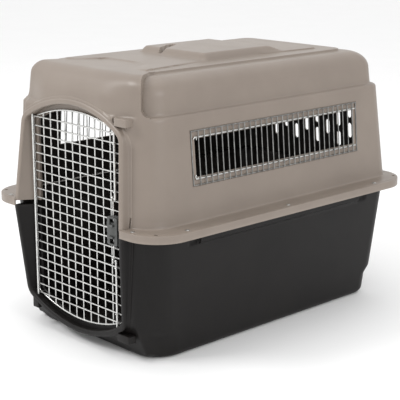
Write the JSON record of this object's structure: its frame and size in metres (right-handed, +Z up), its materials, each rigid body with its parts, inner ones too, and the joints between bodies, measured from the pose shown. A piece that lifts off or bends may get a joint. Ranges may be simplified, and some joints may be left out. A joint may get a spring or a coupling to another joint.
{
  "type": "pet transport carrier",
  "caption": "Hard-shell pet kennel: a taupe top shell bolted to a charcoal bottom shell, with a squeeze-latch wire door, wire side windows and a vented rear wall.",
  "frame": {"origin": "centre of the whole object's footprint, on the surface that it stands on", "axes": "+Z up, -Y towards the door, +X to the carrier's right-hand side as the door is looked at from the front"},
  "size_m": [0.72, 1.016, 0.762],
  "materials": {
    "taupe_shell": "satin moulded, fine texture",
    "charcoal_shell": "satin moulded, fine texture",
    "bright_wire": "bright zinc plated wire",
    "latch_plastic": "matte moulded",
    "black_plastic": "matte moulded",
    "fastener_steel": "zinc plated",
    "spring_steel": "bright drawn wire"
  },
  "bodies": {
    "root": {"top_shell": "taupe_shell", "bottom_shell": "charcoal_shell", "flange_bolts": "fastener_steel", "flange_washers": "fastener_steel", "flange_nuts": "black_plastic", "right_grille_frame": "bright_wire", "right_grille_bars": "bright_wire", "right_grille_rails": "bright_wire", "left_grille_frame": "bright_wire", "left_grille_bars": "bright_wire", "left_grille_rails": "bright_wire"},
    "door": {"door_rim_wire": "bright_wire", "door_upright_wires": "bright_wire", "door_cross_wires": "bright_wire", "hinge_rod": "bright_wire", "latch_rod_guides": "bright_wire", "latch_back_cover": "latch_plastic", "latch_front_cover": "latch_plastic", "upper_latch_spring": "spring_steel", "lower_latch_spring": "spring_steel"},
    "upper_latch": {"upper_latch_rod": "bright_wire", "upper_latch_link": "bright_wire", "upper_squeeze_tab": "latch_plastic"},
    "lower_latch": {"lower_latch_rod": "bright_wire", "lower_latch_link": "bright_wire", "lower_squeeze_tab": "latch_plastic"}
  },
  "joints": [
    {"name": "door_hinge", "type": "hinge", "parent": "root", "child": "door", "pos_m": [-0.18, -0.4708, 0.345], "axis": [0, 0, -1], "range_deg": [0, 110]},
    {"name": "upper_latch_slide", "type": "slide", "parent": "door", "child": "upper_latch", "axis": [0, 0, 1], "range_m": [0, 0.012], "stiffness_N_per_m": 400, "springref_m": 0.02, "deforming": ["upper_latch_spring"]},
    {"name": "lower_latch_slide", "type": "slide", "parent": "door", "child": "lower_latch", "axis": [0, 0, -1], "range_m": [0, 0.012], "stiffness_N_per_m": 400, "springref_m": 0.02, "deforming": ["lower_latch_spring"]}
  ],
  "couplings": [
    {"joint": "lower_latch_slide", "follows": "upper_latch_slide", "ratio": 1}
  ]
}
